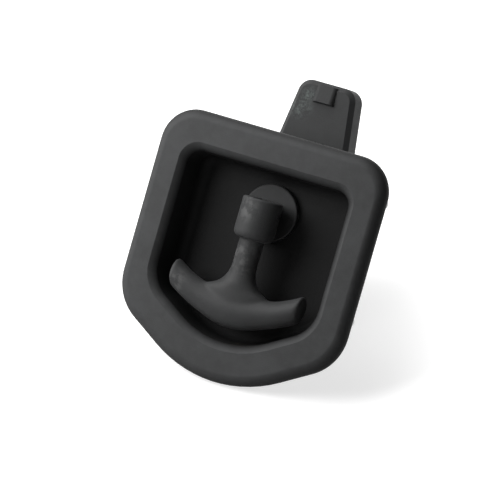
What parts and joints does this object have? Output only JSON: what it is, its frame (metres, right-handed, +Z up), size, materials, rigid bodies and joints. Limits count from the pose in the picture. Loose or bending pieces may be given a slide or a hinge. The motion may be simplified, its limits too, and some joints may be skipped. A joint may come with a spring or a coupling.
{
  "type": "toolbox latch",
  "caption": "Black recessed toolbox latch with a folding T-handle, a quarter-turn cam behind the panel and a key lock.",
  "frame": {"origin": "on the spindle axis, in the plane of the flange's back face", "axes": "+Y along the spindle axis from the front face towards the cam, +Z up, +X to the right as the front is seen"},
  "size_m": [0.135, 0.0899, 0.173],
  "materials": {
    "black_moulding": "moulded satin",
    "black_casting": "black coat",
    "zinc_plate": "zinc plated",
    "brass_plug": "satin",
    "black_rubber": "matt",
    "bearing_plastic": "natural"
  },
  "bodies": {
    "housing": {"housing": "black_moulding", "flange_gasket": "black_rubber", "mounting_studs": "zinc_plate", "spindle_bushing": "bearing_plastic", "spindle_seal": "black_rubber", "lock_body": "black_casting", "lock_nut": "zinc_plate"},
    "rotor": {"spindle": "black_casting", "thrust_washer": "bearing_plastic", "lock_disc": "zinc_plate", "cam": "black_moulding", "cam_washer": "zinc_plate", "spring_washer": "zinc_plate", "cam_nut": "zinc_plate"},
    "handle": {"handle": "black_moulding", "hinge_pin": "black_casting"},
    "lock": {"lock_plug": "brass_plug", "lock_wafers": "brass_plug", "lock_cam": "zinc_plate", "lock_cam_washer": "zinc_plate", "lock_cam_screw": "zinc_plate"}
  },
  "joints": [
    {"name": "spindle_turn", "type": "hinge", "parent": "housing", "child": "rotor", "pos_m": [0, 0, 0], "axis": [0, 1, 0], "range_deg": [0, 90]},
    {"name": "handle_fold", "type": "hinge", "parent": "rotor", "child": "handle", "pos_m": [0, -0.002, 0], "axis": [-1, 0, 0], "range_deg": [0, 90]},
    {"name": "lock_turn", "type": "hinge", "parent": "housing", "child": "lock", "pos_m": [0, 0, -0.056], "axis": [0, 1, 0], "range_deg": [0, 90]}
  ],
  "couplings": [
    {"joint": "handle_fold", "follows": "spindle_turn", "ratio": 1}
  ]
}
